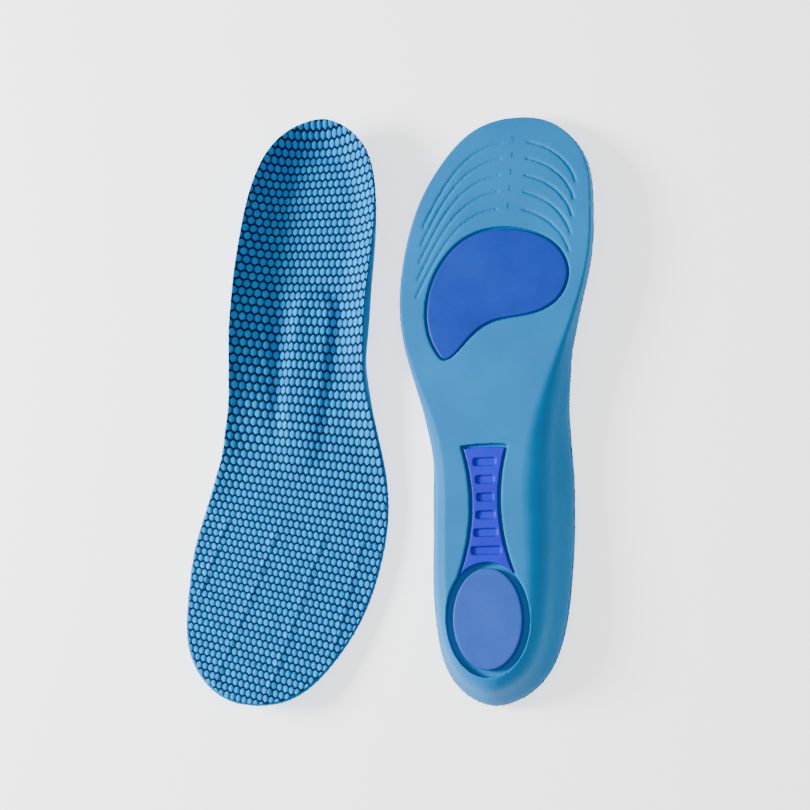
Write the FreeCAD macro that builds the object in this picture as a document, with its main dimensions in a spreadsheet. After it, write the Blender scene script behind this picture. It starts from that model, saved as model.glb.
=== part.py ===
import FreeCAD, Part
import math
import os

# A pair of cushioned insoles. The left one lies face up, the right one lies turned over beside it.
# Every piece is drawn once, as a left insole: heel at y = 0, toes towards +Y, inner side of the foot
# towards +X, underside on z = 0. The right insole's pieces are the left ones mirrored.

os.makedirs("parts", exist_ok=True)
doc = FreeCAD.newDocument("insole_pair")

# ---------------------------------------------------------------- driving dimensions, mm and degrees

DIMENSIONS = [
    # alias, value, meaning
    ("cover_thick", 0.9, "fabric cover with its backing"),
    ("heel_floor", 7.0, "top of the cover above the ground, under the heel"),
    ("ball_floor", 5.4, "top of the cover above the ground, under the ball"),
    ("toe_spring", 8.0, "how far the toe end curls up"),
    ("spring_start", 214.0, "where the curl starts, from the heel"),
    ("slope_start", 60.0, "where the cover starts to sink from heel to ball"),
    ("slope_long", 130.0, "length over which it sinks"),
    ("wall_power", 1.75, "how late the inner wall of the cup rises"),
    ("foot_share", 0.5, "share of the outer flank that is its round foot"),
    ("foot_top", 0.22, "where the round foot ends, as a share of the height"),
    ("edge_start", 0.9, "where the thin edge of the rim starts, as a share of the height"),
    ("belly_reach", 0.24, "share of the height over which the foam swells out"),
    ("ridge_rise", 3.2, "ridge that the arch pad makes in the cover"),
    ("ridge_inset", 1.0, "foot of the ridge inside the edge of the pad"),
    ("ridge_flat", 0.55, "share of the ridge's half width that is level"),
    ("ridge_fade", 0.6, "share of the ridge that is lost towards the toes"),
    ("fade_start", 105.0, "where the ridge starts to fade"),
    ("fade_long", 60.0, "length over which it fades"),
    ("arch_pad_axis", -1.8, "middle line of the arch pad"),
    ("arch_pad_half", 13.5, "half width of the arch pad"),
    ("arch_pad_back", 88.0, "centre of the pad's round heel end"),
    ("arch_pad_front", 152.0, "centre of the pad's round toe end"),
    ("arch_pad_seat", 4.6, "underside of the arch pad above the ground"),
    ("arch_pad_blank", 19.0, "height of the block that the arch pad is cut from"),
    ("ball_pad_thick", 1.8, "forefoot pad"),
    ("ball_pad_deep", 2.0, "recess of the forefoot pad"),
    ("heel_pad_thick", 3.7, "heel pad"),
    ("heel_pad_deep", 4.0, "recess of the heel pad"),
    ("heel_pad_along", 22.5, "half length of the heel pad"),
    ("heel_pad_across", 15.6, "half width of the heel pad"),
    ("heel_pad_at", 37.5, "centre of the heel pad from the heel"),
    ("heel_pad_moat", 3.2, "free space round the heel pad"),
    ("shank_thick", 2.6, "arch shank"),
    ("shank_deep", 2.9, "recess of the arch shank"),
    ("shank_front", 113.6, "front edge of the shank from the heel"),
    ("shank_waist", 90.0, "narrowest place of the shank from the heel"),
    ("shank_back", 57.0, "rear corners of the shank from the heel"),
    ("shank_front_half", 9.4, "half width at the front edge"),
    ("shank_waist_half", 5.7, "half width at the waist"),
    ("shank_back_half", 12.0, "half width at the rear corners"),
    ("shank_hollow", 5.5, "depth of the curve cut into the rear edge"),
    ("shank_bow", 0.6, "how far the front edge bows out"),
    ("slot_deep", 3.6, "length of a slot along the foot"),
    ("slot_sunk", 1.5, "depth of the shank's slots"),
    ("slot_pitch", 7.95, "from slot to slot"),
    ("slot_first", 67.8, "centre of the rear slot from the heel"),
    ("slot_corner", 1.1, "rounded corners of a slot"),
    ("slot_beside", 1.9, "plastic beside the narrowest slot"),
    ("slot_narrow", 92.0, "where the slots are narrowest, from the heel"),
    ("slot_flare", 0.011, "how fast they widen from there"),
    ("slot_curve", 1.75, "power of that widening"),
    ("pad_axis", -3.5, "heel pad and shank, beside the middle line"),
    ("pad_lean", 3.7, "the shank and heel pad lean in plan"),
    ("seat_gap", 0.8, "free space round the forefoot pad"),
    ("shank_gap", 1.4, "free space round the shank"),
    ("under", 1.0, "how far cutters reach below the ground"),
    ("edge_round", 0.6, "rounded edges of the pads"),
    ("trim_wide", 1.1, "width of a size-trim groove"),
    ("trim_deep", 0.8, "depth of a size-trim groove"),
    ("trim_pitch", 8.2, "from one trim groove to the next"),
    ("trim_inside", 4.2, "trim grooves inside the edge"),
    ("trim_drift", 0.4, "each trim groove lies this much further out to the outer side"),
    ("number_axis", 2.0, "strip left free for the size numbers"),
    ("number_wide", 11.0, "width of that strip"),
    ("number_start", 180.0, "where that strip starts, from the heel"),
    ("left_turn", -7.0, "the left insole lies turned in plan"),
    ("right_turn", -2.6, "the right insole lies turned in plan"),
    ("right_roll", 4.5, "the turned-over insole leans to its outer side"),
    ("right_pitch", -2.3, "the turned-over insole slopes to its toes"),
    ("left_aside", -49.0, "middle of the left insole from the pair's middle"),
    ("right_aside", 44.5, "middle of the right insole from the pair's middle"),
    ("left_along", -2.0, "the left insole lies this much further forward"),
]

dims = doc.addObject("Spreadsheet::Sheet", "dims")
for row, (alias, value, meaning) in enumerate(DIMENSIONS, start=1):
    dims.set(f"A{row}", meaning)
    dims.set(f"B{row}", str(value))
    dims.setAlias(f"B{row}", alias)
doc.recompute()


def size(alias):
    return float(dims.get(alias))


# ---------------------------------------------------------------- the outline of one insole

# Round the rim from the toe tip along the inner side, the heel and the outer side:
# x, y, rise of the rim above the floor of the cup, tuck of the ground edge under the rim,
# width of the inner slope, how far the foam swells out under the rim
RIM = [
    (5, 270, 0.5, 1.5, 8, 0),
    (27, 261, 0.5, 1.5, 8, 0),
    (36.5, 246, 0.5, 1.5, 8, 0),
    (39.5, 228, 0.6, 1.5, 8, 0),
    (40, 208, 0.8, 1.5, 9, 0),
    (37, 186, 1.2, 2, 11, 0),
    (33, 164, 3, 5, 15, 0),
    (31.5, 144, 7.5, 11, 20, 0),
    (32, 123, 13, 18, 23, 0),
    (34, 100, 16.5, 22, 24, 0),
    (35, 75, 16.5, 21, 21, 0),
    (34.2, 52, 15.5, 19, 17, 0),
    (31, 29, 14.5, 17, 15, 0),
    (22.7, 11, 14, 15, 14, 0),
    (12.2, 2.8, 14, 13.5, 14, 0),
    (1.5, 0, 14, 12.5, 14, 0),
    (-9, 3, 14, 12, 14, 0),
    (-18.3, 11.5, 14, 11.5, 14, 0.3),
    (-25, 29, 13.5, 11, 14, 1),
    (-27, 52, 13, 10.5, 14, 2.5),
    (-26.7, 75, 12, 9.5, 14, 3.3),
    (-27, 100, 9.5, 8.5, 13, 3.6),
    (-30.6, 121, 6, 6.5, 12, 2.8),
    (-37.8, 141, 3, 3.5, 11, 1.5),
    (-44.4, 160, 1.3, 1.8, 9, 0.6),
    (-48, 178, 0.8, 1.5, 8, 0),
    (-47.3, 200, 0.6, 1.5, 8, 0),
    (-42.3, 224, 0.5, 1.5, 8, 0),
    (-31.5, 247, 0.5, 1.5, 8, 0),
    (-17.5, 263.5, 0.5, 1.5, 8, 0),
]

# Ball pad outline, from its rear point round the outer side
BALL_PAD = [
    (-27, 155),
    (-33.3, 167.5),
    (-33.8, 183.5),
    (-28, 199),
    (-18.3, 209.5),
    (-5.5, 214.3),
    (10, 213.5),
    (23.3, 207),
    (29.3, 196),
    (26.3, 184),
    (16, 176.5),
    (0, 173),
    (-13.5, 165),
]

LENGTH = RIM[0][1]  # from heel to toe
TRIM_LINES = 5
SLOTS = 6
WALL_SEAMS = [0, 5, 9, 12, 15, 18, 21, 25]  # rows of the rim table where the wall's faces meet
LEVELS = [0, 0.4, 1.5, 4, 8, 13, 19, 26, 34]  # heights of the outer wall's sections
GRID_STEP = 2.7  # spacing across the foot of the points that the top surfaces pass through
GRID_STRETCH = 1.4  # how much wider that spacing is along the foot
MARGIN = 9.0  # how far those surfaces reach past the rim
DEEP = 60.0  # depth of the blocks that cut the foam and the cover
BESIDE = 80.0  # how far the cutters of the underside reach beside the middle line
BEYOND = 20.0  # how far they reach past the toes and below the ground


def vector(x, y, z=0.0):
    return FreeCAD.Vector(x, y, z)


def closed_curve(points):
    """A smooth closed curve through the points."""
    curve = Part.BSplineCurve()
    curve.interpolate(Points=points, PeriodicFlag=True)
    return curve


def blend(value):
    """0 to 1 with level ends."""
    value = min(max(value, 0.0), 1.0)
    return value * value * (3 - 2 * value)


def spring(y):
    """Height of the underside: level, then curling up to the toe."""
    span = LENGTH - size("spring_start")
    return size("toe_spring") * max(0.0, (y - size("spring_start")) / span) ** 2


def floor_top(y):
    """Height of the cover along the middle of the insole."""
    step = size("heel_floor") - size("ball_floor")
    return size("heel_floor") - step * blend((y - size("slope_start")) / size("slope_long")) + spring(y)


rim_plan = closed_curve([vector(row[0], row[1]) for row in RIM])
rim_marks = [rim_plan.parameter(vector(row[0], row[1])) for row in RIM]
rim_marks[0] = rim_plan.FirstParameter


def around(parameter, column):
    """A value of the rim table between its rows, at a parameter of the rim curve."""
    after = len(RIM)
    for index, mark in enumerate(rim_marks):
        if mark > parameter:
            after = index
            break
    low = rim_marks[after - 1]
    high = rim_marks[after] if after < len(RIM) else rim_plan.LastParameter
    along = (parameter - low) / (high - low)
    share = (blend(along) + along) / 2
    first = RIM[after - 1][column]
    second = RIM[after % len(RIM)][column]
    return first + (second - first) * share


def outward(parameter):
    """Unit normal of the rim curve in plan, pointing away from the insole."""
    tangent = rim_plan.tangent(parameter)[0]
    normal = vector(tangent.y, -tangent.x)
    middle = vector(0, LENGTH / 2) - rim_plan.value(parameter)
    return normal if normal.dot(middle) < 0 else normal * -1


def ridge(x, y):
    """What the arch pad adds to the height of the cover."""
    along = min(max(y, size("arch_pad_back")), size("arch_pad_front"))
    away = math.hypot(x - size("arch_pad_axis"), y - along) / (size("arch_pad_half") - size("ridge_inset"))
    flat = size("ridge_flat")
    fade = 1 - size("ridge_fade") * blend((y - size("fade_start")) / size("fade_long"))
    return size("ridge_rise") * fade * (1 - blend((away - flat) / (1 - flat)))


def cover_height(x, y):
    """Height of the upper side at a place in plan, without the ridge."""
    here = vector(x, y)
    parameter = rim_plan.parameter(here)
    offset = here - rim_plan.value(parameter)
    inside = -offset.dot(outward(parameter))
    near = 1 - inside / around(parameter, 4)
    power = size("wall_power")
    if near <= 0:
        share = 0.0
    elif near <= 1:
        share = near ** power
    else:
        share = 1 + power * (near - 1)
    return floor_top(y) + around(parameter, 2) * share


def top_grid():
    """Points of the upper side, row by row from heel to toe."""
    outer = min(row[0] for row in RIM) - MARGIN
    inner = max(row[0] for row in RIM) + MARGIN
    across = int((inner - outer) / GRID_STEP)
    along = int((LENGTH + 2 * MARGIN) / (GRID_STEP * GRID_STRETCH))
    rows = []
    for j in range(along + 1):
        y = -MARGIN + (LENGTH + 2 * MARGIN) * j / along
        row = []
        for i in range(across + 1):
            x = outer + (inner - outer) * i / across
            row.append(vector(x, y, cover_height(x, y) + ridge(x, y)))
        rows.append(row)
    return rows


def sunk(rows, depth):
    """The same points moved into the insole, square to the surface."""
    result = []
    for j, row in enumerate(rows):
        before = rows[max(j - 1, 0)]
        after = rows[min(j + 1, len(rows) - 1)]
        moved = []
        for i, point in enumerate(row):
            side = row[min(i + 1, len(row) - 1)] - row[max(i - 1, 0)]
            normal = side.cross(after[i] - before[i]).normalize()
            moved.append(point - normal * depth)
        result.append(moved)
    return result


def below(label, rows):
    """A solid block under a surface through the points."""
    surface = Part.BSplineSurface()
    surface.interpolate(rows)
    sheet = doc.addObject("Part::Feature", label + "_surface")
    sheet.Shape = surface.toShape()
    block = doc.addObject("Part::Extrusion", label + "_block")
    block.Base = sheet
    block.DirMode = "Custom"
    block.Dir = vector(0, 0, -1)
    block.LengthFwd = DEEP
    block.Solid = True
    return block


# ---------------------------------------------------------------- moulded blank of one insole


def flank(parameter, level):
    """How far the outer wall lies inside the rim, at a share of its height."""
    foot = 1 - math.sqrt(min(level / size("foot_top"), 1.0))
    flare = (size("edge_start") - level) / (size("edge_start") - size("foot_top"))
    flare = min(max(flare, 0.0), 1.0)
    share = size("foot_share") * foot + (1 - size("foot_share")) * flare
    belly = blend((1 - level) / size("belly_reach"))
    return around(parameter, 3) * share - around(parameter, 5) * belly


def wall_section(height):
    """Closed wire of the outer wall at a height."""
    points = []
    for mark in rim_marks:
        place = rim_plan.value(mark)
        top = floor_top(place.y) + around(mark, 2)
        points.append(place - outward(mark) * flank(mark, height / top) + vector(0, 0, height))
    curve = closed_curve(points)
    marks = [curve.parameter(points[index]) for index in WALL_SEAMS]
    marks[0] = curve.FirstParameter
    marks.append(curve.LastParameter)
    edges = [curve.toShape(first, last) for first, last in zip(marks, marks[1:])]
    section = doc.addObject("Part::Feature", f"wall_{str(height).replace('.', '_')}")
    section.Shape = Part.Wire(edges)
    return section


def toe_wedge(label, lift):
    """Solid under the curled toe, raised by lift, that the underside is cut with."""
    start = size("spring_start")
    end = LENGTH + BEYOND
    stations = [start + (end - start) * index / 4 for index in range(5)]
    points = [vector(-BESIDE, y, spring(y) + lift) for y in stations]
    curl = Part.BSplineCurve()
    curl.interpolate(points)
    corners = [
        points[-1],
        vector(-BESIDE, end, -BEYOND),
        vector(-BESIDE, -BEYOND, -BEYOND),
        vector(-BESIDE, -BEYOND, lift),
        points[0],
    ]
    edges = [curl.toShape()]
    for first, second in zip(corners, corners[1:]):
        edges.append(Part.LineSegment(first, second).toShape())
    profile = doc.addObject("Part::Feature", label + "_profile")
    profile.Shape = Part.Face(Part.Wire(edges))
    wedge = doc.addObject("Part::Extrusion", label)
    wedge.Base = profile
    wedge.DirMode = "Custom"
    wedge.Dir = vector(1, 0, 0)
    wedge.LengthFwd = 2 * BESIDE
    wedge.Solid = True
    return wedge


def boolean(kind, label, first, second):
    """Part::Cut or Part::Common of two objects."""
    result = doc.addObject("Part::" + kind, label)
    result.Base = first
    result.Tool = second
    return result


wall = doc.addObject("Part::Loft", "wall")
wall.Sections = [wall_section(height) for height in LEVELS]
wall.Solid = True
wall.Ruled = False
wedge = toe_wedge("toe_wedge", 0.0)
blank = boolean("Cut", "blank", wall, wedge)

cover_rows = top_grid()
cover_top = below("cover_top", cover_rows)
foam_top = below("foam_top", sunk(cover_rows, size("cover_thick")))

# ---------------------------------------------------------------- pads, shank and their recesses


def plane_of(body, role):
    return [item for item in body.Origin.OriginFeatures if item.Role == role][0]


def padded(label, draw, length, start=None):
    """A PartDesign body: one sketch on the ground plane, raised by a cell of the sheet."""
    body = doc.addObject("PartDesign::Body", label)
    sketch = body.newObject("Sketcher::SketchObject", label + "_sketch")
    sketch.AttachmentSupport = [(plane_of(body, "XY_Plane"), "")]
    sketch.MapMode = "FlatFace"
    if start:
        sketch.setExpression(".AttachmentOffset.Base.z", start)
    draw(sketch)
    pad = body.newObject("PartDesign::Pad", label + "_pad")
    pad.Profile = sketch
    pad.setExpression("Length", length)
    doc.recompute()
    return body


def rounded(body, height):
    """Round the edges of a body that lie at a height."""
    base = body.Tip
    names = []
    for index, edge in enumerate(base.Shape.Edges, start=1):
        box = edge.BoundBox
        if abs(box.ZMin - height) < 1e-3 and abs(box.ZMax - height) < 1e-3:
            names.append(f"Edge{index}")
    fillet = body.newObject("PartDesign::Fillet", body.Label + "_round")
    fillet.Base = (base, names)
    fillet.setExpression("Radius", "dims.edge_round")
    doc.recompute()
    return body


def grown(points, gap):
    """Outline points moved outwards by a gap."""
    curve = closed_curve([vector(x, y) for x, y in points])
    middle = vector(sum(x for x, y in points) / len(points), sum(y for x, y in points) / len(points))
    result = []
    for x, y in points:
        tangent = curve.tangent(curve.parameter(vector(x, y)))[0]
        normal = vector(tangent.y, -tangent.x)
        if normal.dot(vector(x, y) - middle) < 0:
            normal = normal * -1
        result.append(vector(x, y) + normal * gap)
    return result


def inlaid(x, y):
    """A point of the shank or heel pad, whose common axis leans in plan."""
    pivot = vector(size("pad_axis"), size("shank_waist"))
    lean = FreeCAD.Rotation(vector(0, 0, 1), size("pad_lean"))
    return pivot + lean.multVec(vector(x, y) - pivot)


def ball_pad_sketch(gap):
    def draw(sketch):
        sketch.addGeometry(closed_curve(grown(BALL_PAD, gap)))

    return draw


def heel_pad_sketch(gap):
    def draw(sketch):
        axis = size("pad_axis")
        at = size("heel_pad_at")
        centre = inlaid(axis, at)
        along = inlaid(axis, at + size("heel_pad_along") + gap)
        across = inlaid(axis + size("heel_pad_across") + gap, at)
        sketch.addGeometry(Part.Ellipse(along, across, centre))

    return draw


def shank_sketch(gap):
    """Hourglass with concave flanks and a hollow rear edge."""

    def draw(sketch):
        axis = size("pad_axis")
        front = size("shank_front") + gap
        back = size("shank_back") - gap
        waist = size("shank_waist")
        front_half = size("shank_front_half") + gap
        waist_half = size("shank_waist_half") + gap
        back_half = size("shank_back_half") + gap
        a = inlaid(axis - front_half, front)
        b = inlaid(axis + front_half, front)
        c = inlaid(axis + back_half, back)
        d = inlaid(axis - back_half, back)
        sketch.addGeometry(Part.Arc(a, inlaid(axis, front + size("shank_bow")), b))
        sketch.addGeometry(Part.Arc(b, inlaid(axis + waist_half, waist), c))
        if gap:
            sketch.addGeometry(Part.LineSegment(c, d))
        else:
            sketch.addGeometry(Part.Arc(c, inlaid(axis, back + size("shank_hollow")), d))
        sketch.addGeometry(Part.Arc(d, inlaid(axis - waist_half, waist), a))

    return draw


def capsule_sketch(sketch):
    axis = size("arch_pad_axis")
    half = size("arch_pad_half")
    back = size("arch_pad_back")
    front = size("arch_pad_front")
    left_back = vector(axis - half, back)
    right_back = vector(axis + half, back)
    left_front = vector(axis - half, front)
    right_front = vector(axis + half, front)
    sketch.addGeometry(Part.Arc(left_back, vector(axis, back - half), right_back))
    sketch.addGeometry(Part.LineSegment(right_back, right_front))
    sketch.addGeometry(Part.Arc(right_front, vector(axis, front + half), left_front))
    sketch.addGeometry(Part.LineSegment(left_front, left_back))


def slot_sketch(sketch):
    """Rounded slots across the shank, wide at its ends and narrow at its waist."""
    axis = size("pad_axis")
    half = size("slot_deep") / 2
    for index in range(SLOTS):
        y = size("slot_first") + index * size("slot_pitch")
        flare = size("slot_flare") * abs(y - size("slot_narrow")) ** size("slot_curve")
        wide = size("shank_waist_half") - size("slot_beside") + flare
        corners = [
            inlaid(axis - wide, y - half),
            inlaid(axis + wide, y - half),
            inlaid(axis + wide, y + half),
            inlaid(axis - wide, y + half),
        ]
        for number, corner in enumerate(corners):
            after = corners[(number + 1) % 4]
            before = corners[number - 1]
            along = (after - corner).normalize() * size("slot_corner")
            back = (before - corner).normalize() * size("slot_corner")
            bulge = (along + back) * (1 - math.sqrt(0.5))
            sketch.addGeometry(Part.Arc(corner + back, corner + bulge, corner + along))
            sketch.addGeometry(Part.LineSegment(corner + along, after - along))


# Each pad is as thick as its cell says and sits a little inside the flat underside.
forefoot_body = padded(
    "forefoot_body",
    ball_pad_sketch(0.0),
    "dims.ball_pad_thick",
    "dims.ball_pad_deep - dims.ball_pad_thick",
)
rounded(forefoot_body, size("ball_pad_deep") - size("ball_pad_thick"))

heel_body = padded(
    "heel_body",
    heel_pad_sketch(0.0),
    "dims.heel_pad_thick",
    "dims.heel_pad_deep - dims.heel_pad_thick",
)
rounded(heel_body, size("heel_pad_deep") - size("heel_pad_thick"))

shank_body = padded(
    "shank_body",
    shank_sketch(0.0),
    "dims.shank_thick",
    "dims.shank_deep - dims.shank_thick",
)
slots = shank_body.newObject("Sketcher::SketchObject", "slots_sketch")
slots.AttachmentSupport = [(plane_of(shank_body, "XY_Plane"), "")]
slots.MapMode = "FlatFace"
slot_sketch(slots)
whole = shank_body.Tip.Shape.Volume
slot_pocket = shank_body.newObject("PartDesign::Pocket", "slots_pocket")
slot_pocket.Profile = slots
slot_pocket.Reversed = True
slot_pocket.setExpression("Length", "dims.shank_deep - dims.shank_thick + dims.slot_sunk")
doc.recompute()
if slot_pocket.Shape.Volume > whole - SLOTS * size("slot_deep"):
    raise RuntimeError("the slots don't cut the shank")

arch_body = padded("arch_body", capsule_sketch, "dims.arch_pad_blank", "dims.arch_pad_seat")


def recess(label, draw, depth):
    """Cutter of a recess in the underside, which starts a little under the ground."""
    return padded(label, draw, depth + " + dims.under", "-dims.under")


ball_seat = recess("ball_seat", ball_pad_sketch(size("seat_gap")), "dims.ball_pad_deep")
heel_seat = recess("heel_seat", heel_pad_sketch(size("heel_pad_moat")), "dims.heel_pad_deep")
shank_seat = recess("shank_seat", shank_sketch(size("shank_gap")), "dims.shank_deep")

# ---------------------------------------------------------------- size-trim grooves round the toes


def trim_band(index):
    """One trim line: the toe end of the rim moved towards the heel, as a band of even width."""
    shift = vector(-size("trim_drift"), -size("trim_pitch")) * (index + 1)
    marks = rim_marks[-3:] + rim_marks[:3]
    sides = []
    for depth in (size("trim_inside"), size("trim_inside") + size("trim_wide")):
        curve = Part.BSplineCurve()
        curve.interpolate([rim_plan.value(mark) - outward(mark) * depth + shift for mark in marks])
        sides.append(curve)
    edges = [
        sides[0].toShape(),
        Part.LineSegment(sides[0].EndPoint, sides[1].EndPoint).toShape(),
        sides[1].toShape(),
        Part.LineSegment(sides[1].StartPoint, sides[0].StartPoint).toShape(),
    ]
    face = doc.addObject("Part::Feature", f"trim_{index + 1}_face")
    face.Shape = Part.Face(Part.Wire(Part.__sortEdges__(edges)))
    band = doc.addObject("Part::Extrusion", f"trim_{index + 1}_band")
    band.Base = face
    band.DirMode = "Custom"
    band.Dir = vector(0, 0, 1)
    band.LengthFwd = DEEP
    band.Solid = True
    band.Placement.Base.z = -size("under")
    return band


bands = doc.addObject("Part::MultiFuse", "trim_bands")
bands.Shapes = [trim_band(index) for index in range(TRIM_LINES)]
number_strip = doc.addObject("Part::Box", "number_strip")
number_strip.setExpression("Length", "dims.number_wide")
number_strip.Width = LENGTH
number_strip.Height = DEEP
number_strip.setExpression("Placement.Base.x", "dims.number_axis - dims.number_wide / 2")
number_strip.setExpression("Placement.Base.y", "dims.number_start")
lines = boolean("Cut", "trim_lines", bands, number_strip)
groove_floor = toe_wedge("groove_floor", size("trim_deep"))
grooves = boolean("Common", "trim_grooves", lines, groove_floor)

# ---------------------------------------------------------------- foam, cover and arch pad

arch_pad = boolean("Common", "arch_pad", arch_body, foam_top)
hollows = doc.addObject("Part::MultiFuse", "hollows")
hollows.Shapes = [ball_seat, heel_seat, shank_seat, arch_pad, grooves]
foam_blank = boolean("Common", "foam_blank", blank, foam_top)
foam_base = boolean("Cut", "foam_base", foam_blank, hollows)
cover_blank = boolean("Common", "cover_blank", blank, cover_top)
top_cover = boolean("Cut", "top_cover", cover_blank, foam_top)
doc.recompute()
layers = foam_blank.Shape.Volume + top_cover.Shape.Volume
if abs(layers - cover_blank.Shape.Volume) > 0.01 * layers:
    raise RuntimeError("the foam and the cover don't add up to the blank")

MASTERS = {
    "top_cover": top_cover,
    "arch_pad": arch_pad,
    "foam_base": foam_base,
    "forefoot_pad": forefoot_body,
    "arch_shank": shank_body,
    "heel_pad": heel_body,
}

# ---------------------------------------------------------------- the pair, as it lies on the ground


def turned(axis, angle):
    return FreeCAD.Placement(vector(0, 0), FreeCAD.Rotation(axis, angle))


def moved(x, y, z=0.0):
    return FreeCAD.Placement(vector(x, y, z), FreeCAD.Rotation())


X_AXIS = vector(1, 0)
Y_AXIS = vector(0, 1)
Z_AXIS = vector(0, 0, 1)
to_middle = moved(0, -LENGTH / 2)
left_place = (
    moved(size("left_aside"), size("left_along"))
    * turned(Z_AXIS, 180 + size("left_turn"))
    * to_middle
)
right_place = (
    moved(size("right_aside"), 0)
    * turned(Z_AXIS, size("right_turn"))
    * turned(X_AXIS, size("right_pitch"))
    * turned(Y_AXIS, -size("right_roll"))
    * to_middle
)


def tight_box(shape):
    """Box of the shape's fine mesh, which no control point of a curved face widens."""
    points = shape.tessellate(0.05)[0]
    return (
        vector(min(p.x for p in points), min(p.y for p in points), min(p.z for p in points)),
        vector(max(p.x for p in points), max(p.y for p in points), max(p.z for p in points)),
    )


left_nodes = []
right_nodes = []
for name, master in MASTERS.items():
    left = doc.addObject("PartDesign::Body", "left_" + name)
    left.BaseFeature = master
    left.Label = "left_" + name
    left_nodes.append(left)
    right = doc.addObject("Part::Mirroring", "right_" + name)
    right.Source = master
    right.Normal = Z_AXIS
    right.Label = "right_" + name
    right_nodes.append(right)
doc.recompute()

for node in left_nodes:
    node.Placement = left_place
for node in right_nodes:
    node.Placement = right_place
doc.recompute()

# The ground is z = 0 and the origin is the middle of the pair's box.
drop = min(tight_box(node.Shape)[0].z for node in right_nodes)
for node in right_nodes:
    node.Placement = moved(0, 0, -drop) * node.Placement
doc.recompute()
boxes = [tight_box(node.Shape) for node in left_nodes + right_nodes]
shift_x = -(min(low.x for low, high in boxes) + max(high.x for low, high in boxes)) / 2
shift_y = -(min(low.y for low, high in boxes) + max(high.y for low, high in boxes)) / 2
for node in left_nodes + right_nodes:
    node.Placement = moved(shift_x, shift_y) * node.Placement
doc.recompute()

# ---------------------------------------------------------------- checks and export

for item in doc.Objects:
    if "Invalid" in item.State or "Error" in item.State:
        raise RuntimeError(f"{item.Label} failed: {item.State}")

for node in left_nodes + right_nodes:
    if node.Shape.isNull() or not node.Shape.isValid() or len(node.Shape.Solids) != 1:
        raise RuntimeError(f"{node.Label} isn't one valid solid")
    low, high = tight_box(node.Shape)
    print(
        f"{node.Label:20s} {node.Shape.Volume / 1000:8.2f} cm3  "
        f"x {low.x:7.2f} {high.x:7.2f}  y {low.y:7.2f} {high.y:7.2f}  z {low.z:6.2f} {high.z:6.2f}"
    )
    node.Shape.exportStep(f"parts/{node.Label}.step")
print("moved by", round(shift_x, 3), round(shift_y, 3), round(-drop, 3))
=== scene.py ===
import math

import bmesh
import bpy
import numpy as np
from mathutils import Matrix, Vector
from mathutils.bvhtree import BVHTree


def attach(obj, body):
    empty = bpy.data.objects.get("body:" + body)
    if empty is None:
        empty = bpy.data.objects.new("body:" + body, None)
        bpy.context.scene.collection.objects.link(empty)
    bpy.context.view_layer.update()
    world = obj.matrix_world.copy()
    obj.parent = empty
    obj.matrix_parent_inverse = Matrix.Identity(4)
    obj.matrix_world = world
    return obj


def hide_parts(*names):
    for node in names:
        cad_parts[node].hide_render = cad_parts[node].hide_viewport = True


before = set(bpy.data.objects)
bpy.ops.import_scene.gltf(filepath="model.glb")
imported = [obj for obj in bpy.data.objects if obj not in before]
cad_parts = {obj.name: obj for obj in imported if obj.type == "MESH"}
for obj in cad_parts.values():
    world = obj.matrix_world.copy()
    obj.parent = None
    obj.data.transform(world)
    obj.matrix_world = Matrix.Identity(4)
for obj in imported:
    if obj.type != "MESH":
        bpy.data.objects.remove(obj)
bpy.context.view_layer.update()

scene = bpy.context.scene


# ---- where each insole lies: heel at y 0, toe up the y axis, inner side towards +x ----

insoles = {
    "left": {"turn": 173.0, "roll": 0.0, "pitch": 0.0, "turnedOver": False},
    "right": {"turn": -2.6, "roll": -4.5, "pitch": -2.3, "turnedOver": True},
}
coverSeat = {"middle": -0.0032, "heel": 0.0, "underside": 0.0045}  # the cover's own place on an insole


def turned(pose):
    steps = [
        Matrix.Rotation(math.radians(pose["turn"]), 4, "Z"),
        Matrix.Rotation(math.radians(pose["pitch"]), 4, "X"),
        Matrix.Rotation(math.radians(pose["roll"]), 4, "Y"),
        Matrix.Diagonal((1, 1, -1 if pose["turnedOver"] else 1, 1)),
    ]
    return steps[0] @ steps[1] @ steps[2] @ steps[3]


def placeOf(side):
    turn = turned(insoles[side])
    back = turn.inverted()
    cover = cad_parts[side + "_top_cover"].data
    points = np.array([back @ v.co for v in cover.vertices])
    low, high = points.min(0), points.max(0)
    shift = Vector((
        (low[0] + high[0]) / 2 - coverSeat["middle"],
        low[1] - coverSeat["heel"],
        low[2] - coverSeat["underside"],
    ))
    return turn @ Matrix.Translation(shift)


places = {side: placeOf(side) for side in insoles}
print("insoles placed")


# ---- small helpers ----

def cleanCopy(node):
    # the CAD piece brought back to the insole's own place, its loose triangles joined
    bm = bmesh.new()
    bm.from_mesh(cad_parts[node].data)
    bmesh.ops.transform(bm, matrix=places["left"].inverted(), verts=bm.verts)
    bmesh.ops.remove_doubles(bm, verts=bm.verts, dist=0.000004)
    return bm


def asObject(name, bm):
    mesh = bpy.data.meshes.new(name)
    bm.to_mesh(mesh)
    bm.free()
    piece = bpy.data.objects.new(name, mesh)
    scene.collection.objects.link(piece)
    return piece


def settled(piece):
    # every modifier applied
    bpy.context.view_layer.update()
    shape = bpy.data.meshes.new_from_object(piece.evaluated_get(bpy.context.evaluated_depsgraph_get()))
    piece.modifiers.clear()
    piece.data = shape
    return piece


def pointsOf(mesh):
    flat = np.zeros(len(mesh.vertices) * 3)
    mesh.vertices.foreach_get("co", flat)
    return flat.reshape(-1, 3)


def movePoints(mesh, points):
    mesh.vertices.foreach_set("co", points.ravel())
    mesh.update()


def ease(value, start, end):
    t = np.clip((value - start) / (end - start), 0, 1)
    return t * t * (3 - 2 * t)


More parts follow.
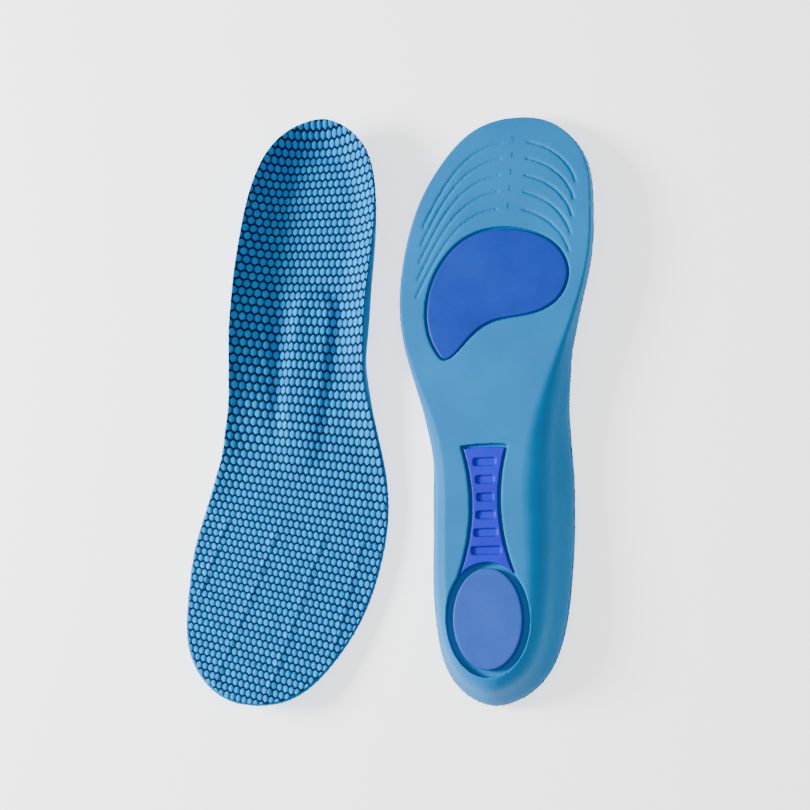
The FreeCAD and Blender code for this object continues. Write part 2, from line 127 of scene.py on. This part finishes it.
def rememberPlace(mesh):
    # patterns follow the insole, not the room
    spot = mesh.attributes.new("insolePlace", "FLOAT_VECTOR", "POINT")
    spot.data.foreach_set("vector", pointsOf(mesh).ravel().astype(np.float32))


def putOn(side, master, name, node, finish):
    # a copy of a master piece on one insole
    piece = bpy.data.objects.new(side + "_" + name, master.data.copy())
    scene.collection.objects.link(piece)
    piece.data.transform(places[side])
    if insoles[side]["turnedOver"]:
        piece.data.flip_normals()
    piece.data.materials.clear()
    piece.data.materials.append(finish)
    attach(piece, side + "_insole")
    if node:
        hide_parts(side + "_" + node)
    return piece


def layOut(master, name, node, finish):
    laid = {side: putOn(side, master, name, node, finish) for side in places}
    bpy.data.objects.remove(master)
    print("laid out", name)
    return laid


# ---- node helpers ----

def add(tree, kind, **values):
    node = tree.nodes.new(kind)
    for key, value in values.items():
        setattr(node, key, value)
    return node


def join(tree, source, target):
    tree.links.new(source, target)


def sums(tree, operation, first, second=None, clamp=False):
    node = add(tree, "ShaderNodeMath", operation=operation, use_clamp=clamp)
    for socket, value in zip(node.inputs, (first, second)):
        if value is None:
            continue
        if isinstance(value, (int, float)):
            socket.default_value = value
        else:
            join(tree, value, socket)
    return node.outputs[0]


def stepBetween(tree, value, low, high, start=0.0, end=1.0):
    node = add(tree, "ShaderNodeMapRange", interpolation_type="SMOOTHSTEP")
    join(tree, value, node.inputs["Value"])
    node.inputs["From Min"].default_value = low
    node.inputs["From Max"].default_value = high
    node.inputs["To Min"].default_value = start
    node.inputs["To Max"].default_value = end
    return node.outputs["Result"]


def blended(tree, factor, first, second):
    node = add(tree, "ShaderNodeMix", data_type="RGBA")
    for socket, value in zip((node.inputs[0], node.inputs[6], node.inputs[7]), (factor, first, second)):
        if isinstance(value, (int, float)):
            socket.default_value = value
        elif isinstance(value, tuple):
            socket.default_value = (*value, 1)
        else:
            join(tree, value, socket)
    return node.outputs[2]


def newGroup(name, inputs, outputs):
    group = bpy.data.node_groups.new(name, "ShaderNodeTree")
    for label, kind, value in inputs:
        socket = group.interface.new_socket(name=label, in_out="INPUT", socket_type=kind)
        if value is not None:
            socket.default_value = value
    for label, kind in outputs:
        group.interface.new_socket(name=label, in_out="OUTPUT", socket_type=kind)
    return group, add(group, "NodeGroupInput"), add(group, "NodeGroupOutput")


def placed(tree, group, **values):
    node = add(tree, "ShaderNodeGroup", node_tree=group)
    for label, value in values.items():
        node.inputs[label].default_value = value
    return node


# fine skin of a moulded piece: pores, a soft cloudiness and a height for the bump

def makeGrainGroup():
    group, start, end = newGroup(
        "mouldedGrain",
        [("Place", "NodeSocketVector", None), ("Pore", "NodeSocketFloat", 1800.0),
         ("Cloud", "NodeSocketFloat", 28.0)],
        [("Height", "NodeSocketFloat"), ("Cloudiness", "NodeSocketFloat"), ("Speck", "NodeSocketFloat")],
    )
    pores = add(group, "ShaderNodeTexNoise", noise_dimensions="3D")
    pores.inputs["Detail"].default_value = 3.0
    pores.inputs["Roughness"].default_value = 0.6
    cells = add(group, "ShaderNodeTexVoronoi", feature="F1")
    clouds = add(group, "ShaderNodeTexNoise", noise_dimensions="3D")
    clouds.inputs["Detail"].default_value = 4.0
    for texture in (pores, cells, clouds):
        join(group, start.outputs["Place"], texture.inputs["Vector"])
    join(group, start.outputs["Pore"], pores.inputs["Scale"])
    join(group, sums(group, "MULTIPLY", start.outputs["Pore"], 0.8), cells.inputs["Scale"])
    join(group, start.outputs["Cloud"], clouds.inputs["Scale"])
    pits = stepBetween(group, cells.outputs["Distance"], 0.05, 0.42)
    join(group, sums(group, "ADD", sums(group, "MULTIPLY", pores.outputs["Fac"], 0.6),
                     sums(group, "MULTIPLY", pits, 0.4)), end.inputs["Height"])
    join(group, stepBetween(group, clouds.outputs["Fac"], 0.3, 0.7), end.inputs["Cloudiness"])
    join(group, stepBetween(group, pores.outputs["Fac"], 0.35, 0.68), end.inputs["Speck"])
    return group


# knitted honeycomb: one unit of the weave map is one cell across and one row along

def makeHoneycombGroup():
    group, start, end = newGroup(
        "honeycombKnit",
        [("Weave", "NodeSocketVector", None)],
        [("Cell", "NodeSocketFloat"), ("Seam", "NodeSocketFloat"), ("Height", "NodeSocketFloat"),
         ("Shade", "NodeSocketFloat")],
    )
    stretch = add(group, "ShaderNodeVectorMath", operation="MULTIPLY")
    join(group, start.outputs["Weave"], stretch.inputs[0])
    stretch.inputs[1].default_value = (1, 0.8660254, 0)
    near = []
    for offset in ((0, 0, 0), (0.5, 0.8660254, 0)):
        shift = add(group, "ShaderNodeVectorMath", operation="ADD")
        join(group, stretch.outputs[0], shift.inputs[0])
        shift.inputs[1].default_value = offset
        wrap = add(group, "ShaderNodeVectorMath", operation="WRAP")
        join(group, shift.outputs[0], wrap.inputs[0])
        wrap.inputs[1].default_value = (0.5, 0.8660254, 0.5)
        wrap.inputs[2].default_value = (-0.5, -0.8660254, -0.5)
        size = add(group, "ShaderNodeVectorMath", operation="LENGTH")
        join(group, wrap.outputs[0], size.inputs[0])
        near.append((wrap.outputs[0], size.outputs["Value"]))
    pick = add(group, "ShaderNodeMix", data_type="VECTOR")
    join(group, sums(group, "GREATER_THAN", near[0][1], near[1][1]), pick.inputs[0])
    join(group, near[0][0], pick.inputs[4])
    join(group, near[1][0], pick.inputs[5])
    spot = pick.outputs[1]
    centre = add(group, "ShaderNodeVectorMath", operation="SUBTRACT")
    join(group, stretch.outputs[0], centre.inputs[0])
    join(group, spot, centre.inputs[1])
    chance = add(group, "ShaderNodeTexWhiteNoise", noise_dimensions="2D")
    tidy = add(group, "ShaderNodeVectorMath", operation="SNAP")
    join(group, centre.outputs[0], tidy.inputs[0])
    tidy.inputs[1].default_value = (0.25, 0.4330127, 1)
    join(group, tidy.outputs[0], chance.inputs["Vector"])
    apart = add(group, "ShaderNodeSeparateXYZ")
    join(group, spot, apart.inputs[0])
    across = sums(group, "ABSOLUTE", apart.outputs["X"])
    along = sums(group, "ABSOLUTE", apart.outputs["Y"])
    slant = sums(group, "ADD", sums(group, "MULTIPLY", across, 0.5),
                 sums(group, "MULTIPLY", along, 0.8660254))
    edge = sums(group, "MAXIMUM", across, slant)
    size = add(group, "ShaderNodeVectorMath", operation="LENGTH")
    join(group, spot, size.inputs[0])
    rounded = sums(group, "ADD", sums(group, "MULTIPLY", edge, 0.6),
                   sums(group, "MULTIPLY", size.outputs["Value"], 0.42))
    cell = stepBetween(group, rounded, 0.33, 0.44, 1.0, 0.0)
    beside = stepBetween(group, sums(group, "SUBTRACT", across, slant), -0.02, 0.05)
    join(group, cell, end.inputs["Cell"])
    join(group, beside, end.inputs["Seam"])
    join(group, stepBetween(group, rounded, 0.12, 0.49, 1.0, 0.0), end.inputs["Height"])
    join(group, chance.outputs["Value"], end.inputs["Shade"])
    return group


mouldedGrain = makeGrainGroup()
honeycombKnit = makeHoneycombGroup()
print("pattern groups ready")


# ---- finishes ----

def newFinish(name):
    finish = bpy.data.materials.new(name)
    finish.use_nodes = True
    shader = finish.node_tree.nodes["Principled BSDF"]
    return finish, finish.node_tree, shader


def insolePlace(tree):
    return add(tree, "ShaderNodeAttribute", attribute_name="insolePlace").outputs["Vector"]


def bumped(tree, height, strength, distance, shader):
    bump = add(tree, "ShaderNodeBump")
    bump.inputs["Strength"].default_value = strength
    bump.inputs["Distance"].default_value = distance
    join(tree, height, bump.inputs["Height"])
    join(tree, bump.outputs["Normal"], shader.inputs["Normal"])


mouldedLook = {
    "foam": {"dark": (0.0, 0.135, 0.36), "light": (0.0, 0.175, 0.43), "rough": (0.55, 0.72),
             "bump": 0.3, "depth": 0.0001, "pore": 1500.0, "cloud": 26.0, "specular": 0.18, "soft": 0.0},
    "ballGel": {"dark": (0.0, 0.022, 0.27), "light": (0.004, 0.04, 0.35), "rough": (0.4, 0.56),
                "bump": 0.15, "depth": 0.0001, "pore": 2600.0, "cloud": 34.0, "specular": 0.22, "soft": 0.0},
    "heelGel": {"dark": (0.012, 0.06, 0.34), "light": (0.02, 0.085, 0.42), "rough": (0.4, 0.58),
                "bump": 0.15, "depth": 0.0001, "pore": 2600.0, "cloud": 40.0, "specular": 0.22, "soft": 0.0},
    "shankPlastic": {"dark": (0.0, 0.003, 0.42), "light": (0.001, 0.008, 0.56), "rough": (0.4, 0.52),
                     "bump": 0.1, "depth": 0.00008, "pore": 3000.0, "cloud": 60.0, "specular": 0.25,
                     "soft": 0.0},
    "supportFoam": {"dark": (0.5, 0.53, 0.56), "light": (0.62, 0.65, 0.68), "rough": (0.7, 0.85),
                    "bump": 0.4, "depth": 0.0002, "pore": 900.0, "cloud": 30.0, "specular": 0.3, "soft": 0.0},
}


def moulded(name):
    look = mouldedLook[name]
    finish, tree, shader = newFinish(name)
    grain = placed(tree, mouldedGrain, Pore=look["pore"], Cloud=look["cloud"])
    join(tree, insolePlace(tree), grain.inputs["Place"])
    mood = sums(tree, "ADD", sums(tree, "MULTIPLY", grain.outputs["Cloudiness"], 0.7),
                sums(tree, "MULTIPLY", grain.outputs["Speck"], 0.3))
    join(tree, blended(tree, mood, look["dark"], look["light"]), shader.inputs["Base Color"])
    sheer = stepBetween(tree, grain.outputs["Speck"], 0.0, 1.0, *look["rough"])
    join(tree, sheer, shader.inputs["Roughness"])
    shader.inputs["Specular IOR Level"].default_value = look["specular"]
    if look["soft"]:
        shader.inputs["Subsurface Weight"].default_value = look["soft"]
        shader.inputs["Subsurface Radius"].default_value = (0.0006, 0.0012, 0.003)
        shader.inputs["Subsurface Scale"].default_value = 1.0
    bumped(tree, grain.outputs["Height"], look["bump"], look["depth"], shader)
    return finish


coverLook = {
    "cellDark": (0.0, 0.16, 0.5), "cellLight": (0.0, 0.34, 0.82),
    "line": (0.0, 0.006, 0.022), "seam": (0.0, 0.045, 0.16),
    "rough": (0.7, 0.86), "depth": 0.0006, "sheen": 0.04,
}


def knitted(name):
    look = coverLook
    finish, tree, shader = newFinish(name)
    weave = add(tree, "ShaderNodeUVMap", uv_map="weave")
    comb = placed(tree, honeycombKnit)
    join(tree, weave.outputs["UV"], comb.inputs["Weave"])
    yarn = add(tree, "ShaderNodeTexNoise")
    yarn.inputs["Scale"].default_value = 2400.0
    yarn.inputs["Detail"].default_value = 2.0
    join(tree, insolePlace(tree), yarn.inputs["Vector"])
    mood = sums(tree, "ADD", sums(tree, "MULTIPLY", comb.outputs["Shade"], 0.45),
                sums(tree, "MULTIPLY", yarn.outputs["Fac"], 0.55), clamp=True)
    cell = blended(tree, mood, look["cellDark"], look["cellLight"])
    line = blended(tree, comb.outputs["Seam"], look["line"], look["seam"])
    join(tree, blended(tree, comb.outputs["Cell"], line, cell), shader.inputs["Base Color"])
    join(tree, stepBetween(tree, yarn.outputs["Fac"], 0.3, 0.7, *look["rough"]), shader.inputs["Roughness"])
    shader.inputs["Sheen Weight"].default_value = look["sheen"]
    shader.inputs["Sheen Roughness"].default_value = 0.4
    shader.inputs["Specular IOR Level"].default_value = 0.1
    lift = sums(tree, "ADD", comb.outputs["Height"], sums(tree, "MULTIPLY", yarn.outputs["Fac"], 0.12))
    bumped(tree, lift, 0.6, look["depth"], shader)
    return finish


finishes = {name: moulded(name) for name in mouldedLook}
finishes["meshCover"] = knitted("meshCover")
print("finishes ready")


# ---- the mesh cover: one stretched sheet from rim to rim ----

cover = {
    "columns": 112, "rows": 420, "thickness": 0.00035, "lift": 0.0001, "inset": 0.0007,
    "ribStart": 0.187, "ribStep": 0.013, "ribRise": 0.0009, "ribWidth": 0.0012,
    "ribCross": 0.189, "ribPlacedAt": 0.19,  # the first cross rib, and where the long ribs' places are given
    "ribs": ((0.0274, 0.24), (0.0033, 0.26), (-0.0185, 0.21), (-0.0365, 0.13)),  # place at the ball, lean
    "padEdge": 0.0152, "padLean": -0.14, "padEdgeAt": 0.091,  # the pad's inner edge, and where it is given
    "padFrom": 0.076, "padTo": 0.17, "padRise": 0.0014, "wallRise": 0.002,
    "cellPitch": 0.00275, "wallPitch": 0.0032, "rowPitch": 0.0037,
    "archPitch": 0.0004, "toePitch": -0.0004,  # what the row pitch gains at the arch and at the toes
    "tiltAtHeel": 0.19, "tiltLoss": 1.3,  # slope of the rows at the heel, and what it loses per metre
}


def outlineOf(bm, samples=720):
    # the left and right rim for rows spaced closer towards the two ends
    points = np.array([v.co for v in bm.verts])
    ends = np.array([[e.verts[0].index, e.verts[1].index] for e in bm.edges])
    low, high = points[:, 1].min(), points[:, 1].max()
    angles = np.linspace(0, math.pi, samples)
    a, b = points[ends[:, 0]], points[ends[:, 1]]
    sides = np.zeros((samples, 2))
    for i, angle in enumerate(angles):
        y = (low + high) / 2 - (high - low) / 2 * math.cos(angle)
        y = min(max(y, low + 1e-6), high - 1e-6)
        crossing = (a[:, 1] - y) * (b[:, 1] - y) <= 0
        p, q = a[crossing], b[crossing]
        run = q[:, 1] - p[:, 1]
        share = np.where(np.abs(run) > 1e-12, (y - p[:, 1]) / np.where(run == 0, 1, run), 0)
        x = p[:, 0] + share * (q[:, 0] - p[:, 0])
        sides[i] = x.min(), x.max()
    return low, high, angles, sides


def rowTilt(y):
    return cover["tiltAtHeel"] - cover["tiltLoss"] * y


def weaveMap(points):
    x, y = points[:, 0], points[:, 1]
    along = y - x * rowTilt(y)
    steps = np.linspace(-0.05, 0.33, 800)
    pitch = cover["rowPitch"] + cover["archPitch"] * np.exp(-((steps - 0.11) / 0.05) ** 2)
    pitch += cover["toePitch"] * ease(steps, 0.15, 0.2)
    counted = np.concatenate(([0], np.cumsum(np.diff(steps) / pitch[:-1])))
    rows = np.interp(along, steps, counted)
    arch = ease(y, 0.03, 0.07) * (1 - ease(y, 0.15, 0.18))
    wall = np.maximum(x - 0.014, 0)
    cells = x / cover["cellPitch"] - wall * arch * (1 / cover["cellPitch"] - 1 / cover["wallPitch"])
    return np.stack([cells, rows], 1)


def ribHeight(x, y):
    along = y - x * rowTilt(y)
    start = ease(along, cover["ribStart"] - 0.002, cover["ribStart"] + 0.002)
    step = cover["ribStep"]
    rise = np.zeros_like(x)
    lane = (along - cover["ribCross"] + step / 2) % step - step / 2
    rise = np.maximum(rise, np.exp(-(lane / cover["ribWidth"]) ** 2))
    for place, lean in cover["ribs"]:
        beside = x - place - lean * (y - cover["ribPlacedAt"])
        rise = np.maximum(rise, np.exp(-(beside / cover["ribWidth"]) ** 2))
    return cover["ribRise"] * start * rise


def padEdge(x, y):
    # a crisp valley along the arch pad's inner edge: the pad swells on one side, the arch wall on the other
    beside = x - (cover["padEdge"] + cover["padLean"] * (y - cover["padEdgeAt"]))
    pad = ease(-beside, 0.0, 0.0045) * (1 - ease(-beside, 0.008, 0.02))
    wall = ease(beside, 0.0, 0.006) * (1 - ease(beside, 0.009, 0.021))
    window = ease(y, cover["padFrom"] - 0.004, cover["padFrom"] + 0.007)
    window = window * (1 - ease(y, cover["padTo"] - 0.035, cover["padTo"]))
    return (cover["padRise"] * pad + cover["wallRise"] * wall) * window


def makeCover():
    source = cleanCopy("left_top_cover")
    low, high, angles, sides = outlineOf(source)
    tree = BVHTree.FromBMesh(source)
    source.free()
    bm = bmesh.new()
    bmesh.ops.create_grid(bm, x_segments=cover["columns"], y_segments=cover["rows"], size=1.0)
    piece = asObject("coverMaster", bm)
    flat = pointsOf(piece.data)
    u, v = flat[:, 0], flat[:, 1]
    across = u * np.sqrt(1 - v * v / 2)
    along = v * np.sqrt(1 - u * u / 2)
    along = np.clip(along, -1, 1)
    angle = np.arccos(-along)
    left = np.interp(angle, angles, sides[:, 0])
    right = np.interp(angle, angles, sides[:, 1])
    inset = np.minimum(cover["inset"], (right - left) / 4)
    left, right = left + inset, right - inset
    chord = np.sqrt(np.maximum(1 - along * along, 1e-9))
    share = np.clip(across / chord, -1, 1)
    x = (left + right) / 2 + share * (right - left) / 2
    y = (low + high) / 2 + along * ((high - low) / 2 - cover["inset"])
    middle = np.array([0.0, (low + high) / 2])
    z = np.zeros_like(x)
    for i in range(len(x)):
        for inset in (0.0, 0.002, 0.004, 0.008, 0.016, 0.03):
            px = x[i] + ((left[i] + right[i]) / 2 - x[i]) * inset
            py = y[i] + (middle[1] - y[i]) * inset * 0.5
            hit = tree.ray_cast(Vector((px, py, 0.1)), Vector((0, 0, -1)))[0]
            if hit:
                z[i] = hit.z
                break
    columns, rows = cover["columns"] + 1, cover["rows"] + 1
    height = z.reshape(rows, columns)
    for _ in range(3):
        soft = height.copy()
        soft[1:-1, 1:-1] = (height[1:-1, 1:-1] * 2 + height[:-2, 1:-1] + height[2:, 1:-1]
                            + height[1:-1, :-2] + height[1:-1, 2:]) / 6
        height = soft
    rimFade = (1 - ease(np.abs(share), 0.86, 0.97)) * (1 - ease(np.abs(along), 0.95, 0.99))
    z = height.ravel() + ribHeight(x, y) * rimFade + padEdge(x, y) + cover["lift"]
    points = np.stack([x, y, z], 1)
    movePoints(piece.data, points)
    uv = piece.data.uv_layers.new(name="weave")
    corner = np.zeros(len(piece.data.loops), int)
    piece.data.loops.foreach_get("vertex_index", corner)
    uv.data.foreach_set("uv", weaveMap(points)[corner].ravel().astype(np.float32))
    rememberPlace(piece.data)
    solid = piece.modifiers.new("thickness", "SOLIDIFY")
    solid.thickness = cover["thickness"]
    solid.offset = -1
    settled(piece)
    piece.data.shade_smooth()
    return piece


coverPieces = layOut(makeCover(), "mesh_cover", "top_cover", finishes["meshCover"])


# ---- moulded pieces: the CAD shape with moulded, softened edges ----

mouldedPieces = {
    "foam_base": {"cell": 0.00048, "soften": 3, "fullness": 0.00045, "look": "foam",
                  "slot": "moulded_foam", "fill": 0.9},
    "arch_pad": {"cell": 0.0008, "soften": 4, "fullness": 0.0, "look": "supportFoam",
                 "slot": "support_foam", "fill": 0.8},
    "forefoot_pad": {"cell": 0.0004, "soften": 3, "fullness": 0.0, "look": "ballGel",
                     "slot": "forefoot_gel", "fill": 1.0},
    "heel_pad": {"cell": 0.0004, "soften": 3, "fullness": 0.0, "look": "heelGel",
                 "slot": "heel_gel", "fill": 1.0},
    "arch_shank": {"cell": 0.0003, "soften": 1, "fullness": 0.0, "look": "shankPlastic",
                   "slot": "shank_plastic", "fill": None},
}


def makeMoulded(name, values):
    piece = asObject(name + "Master", cleanCopy("left_" + name))
    remesh = piece.modifiers.new("skin", "REMESH")
    remesh.mode = "VOXEL"
    remesh.voxel_size = values["cell"]
    remesh.use_smooth_shade = True
    smooth = piece.modifiers.new("soften", "SMOOTH")
    smooth.factor = 0.5
    smooth.iterations = values["soften"]
    settled(piece)
    points = pointsOf(piece.data)
    normals = np.zeros(points.size)
    piece.data.vertices.foreach_get("normal", normals)
    normals = normals.reshape(-1, 3)
    upper = ease(normals[:, 2:3], 0.05, 0.25)  # the side under the cover fills up towards it
    movePoints(piece.data, points + normals * upper * values["fullness"])
    piece.data.shade_smooth()
    rememberPlace(piece.data)
    print(name, "triangles about", len(piece.data.polygons) * 2)
    return piece


for name, values in mouldedPieces.items():
    laid = layOut(makeMoulded(name, values), name + "_skin", name, finishes[values["look"]])


# ---- small raised numbers that count the trim lines ----

sizeNumbers = {
    "labels": ("5", "4", "3", "2", "1"), "x": 0.0014, "first": 0.2585, "pitch": 0.0082,
    "tall": 0.0042, "deep": 0.0005, "sunk": 0.0003,
}


def makeNumbers(readFromBelow):
    # flat figures laid on the curled underside of the toes
    source = cleanCopy("left_foam_base")
    tree = BVHTree.FromBMesh(source)
    source.free()
    everything = bmesh.new()
    for index, label in enumerate(sizeNumbers["labels"]):
        curve = bpy.data.curves.new("figure", "FONT")
        curve.body = label
        curve.size = sizeNumbers["tall"]
        curve.align_x = "CENTER"
        curve.align_y = "CENTER"
        curve.extrude = sizeNumbers["deep"] / 2
        curve.resolution_u = 3
        figure = bpy.data.objects.new("figure", curve)
        scene.collection.objects.link(figure)
        mesh = figure.to_mesh()
        points = pointsOf(mesh)
        if readFromBelow:
            points[:, 0] *= -1
        points[:, 0] += sizeNumbers["x"]
        points[:, 1] += sizeNumbers["first"] - index * sizeNumbers["pitch"]
        for point in points:
            hit = tree.ray_cast(Vector((point[0], point[1], -0.1)), Vector((0, 0, 1)))[0]
            point[2] += hit.z + sizeNumbers["sunk"] - sizeNumbers["deep"] / 2
        movePoints(mesh, points)
        everything.from_mesh(mesh)
        figure.to_mesh_clear()
        bpy.data.objects.remove(figure)
    bmesh.ops.remove_doubles(everything, verts=everything.verts, dist=0.000002)
    bmesh.ops.recalc_face_normals(everything, faces=everything.faces)
    master = asObject("numbersMaster", everything)
    rememberPlace(master.data)
    return master


for side, insole in insoles.items():
    master = makeNumbers(readFromBelow=not insole["turnedOver"])
    putOn(side, master, "size_numbers", None, finishes["foam"])
    bpy.data.objects.remove(master)
print("size numbers laid")


# ---- floor, light and camera ----

studio = {
    "floor": (0.93, 0.93, 0.93), "floorSize": 6.0,
    "floorGlow": 1.5,
    "keyFrom": (-0.9, 0.05, 0.55), "keySize": 0.4, "keyPower": 30.0,
    "topFrom": (0.1, 0.0, 1.4), "topSize": 1.4, "topPower": 6.0,
    "sky": (1.0, 1.0, 1.0), "skyStrength": 0.46,
}
viewpoint = {
    "aim": (0.0072, 0.0011, 0.010), "aside": 7.5, "forward": 7.0,
    "distance": 0.9, "frameWidth": 0.3694,
}


def makeFloor():
    bm = bmesh.new()
    bmesh.ops.create_grid(bm, x_segments=1, y_segments=1, size=studio["floorSize"] / 2)
    bmesh.ops.translate(bm, verts=bm.verts, vec=(0, 0, -0.0005))
    floor = asObject("studio_floor", bm)
    finish, tree, shader = newFinish("paleFloor")
    shader.inputs["Base Color"].default_value = (*studio["floor"], 1)
    shader.inputs["Roughness"].default_value = 0.9
    shader.inputs["Specular IOR Level"].default_value = 0.1
    shader.inputs["Emission Color"].default_value = (1, 1, 1, 1)
    shader.inputs["Emission Strength"].default_value = studio["floorGlow"]
    floor.data.materials.append(finish)


def makeLamp(name, source, size, power):
    lamp = bpy.data.lights.new(name, "AREA")
    lamp.shape = "DISK"
    lamp.size = size
    lamp.energy = power
    holder = bpy.data.objects.new(name, lamp)
    holder.location = source
    holder.rotation_euler = (-Vector(source)).to_track_quat("-Z", "Y").to_euler()
    scene.collection.objects.link(holder)


def makeSky():
    world = bpy.data.worlds.new("softSky")
    world.use_nodes = True
    world.node_tree.nodes["Background"].inputs["Color"].default_value = (*studio["sky"], 1)
    world.node_tree.nodes["Background"].inputs["Strength"].default_value = studio["skyStrength"]
    scene.world = world


def makeCamera():
    aside, forward = math.radians(viewpoint["aside"]), math.radians(viewpoint["forward"])
    away = Vector((
        math.sin(aside) * math.cos(forward),
        -math.sin(forward),
        math.cos(aside) * math.cos(forward),
    ))
    up = (Vector((0, 1, 0)) - away * away.y).normalized()
    across = up.cross(away)
    lens = bpy.data.cameras.new("studioCamera")
    lens.sensor_width = 36.0
    lens.lens = 18.0 * viewpoint["distance"] / (viewpoint["frameWidth"] / 2)
    lens.clip_start = 0.01
    holder = bpy.data.objects.new("studioCamera", lens)
    turn = Matrix((across, up, away)).transposed().to_4x4()
    holder.matrix_world = Matrix.Translation(Vector(viewpoint["aim"]) + away * viewpoint["distance"]) @ turn
    scene.collection.objects.link(holder)
    scene.camera = holder


makeFloor()
makeLamp("keyLamp", studio["keyFrom"], studio["keySize"], studio["keyPower"])
makeLamp("topLamp", studio["topFrom"], studio["topSize"], studio["topPower"])
makeSky()
makeCamera()
print("studio ready")
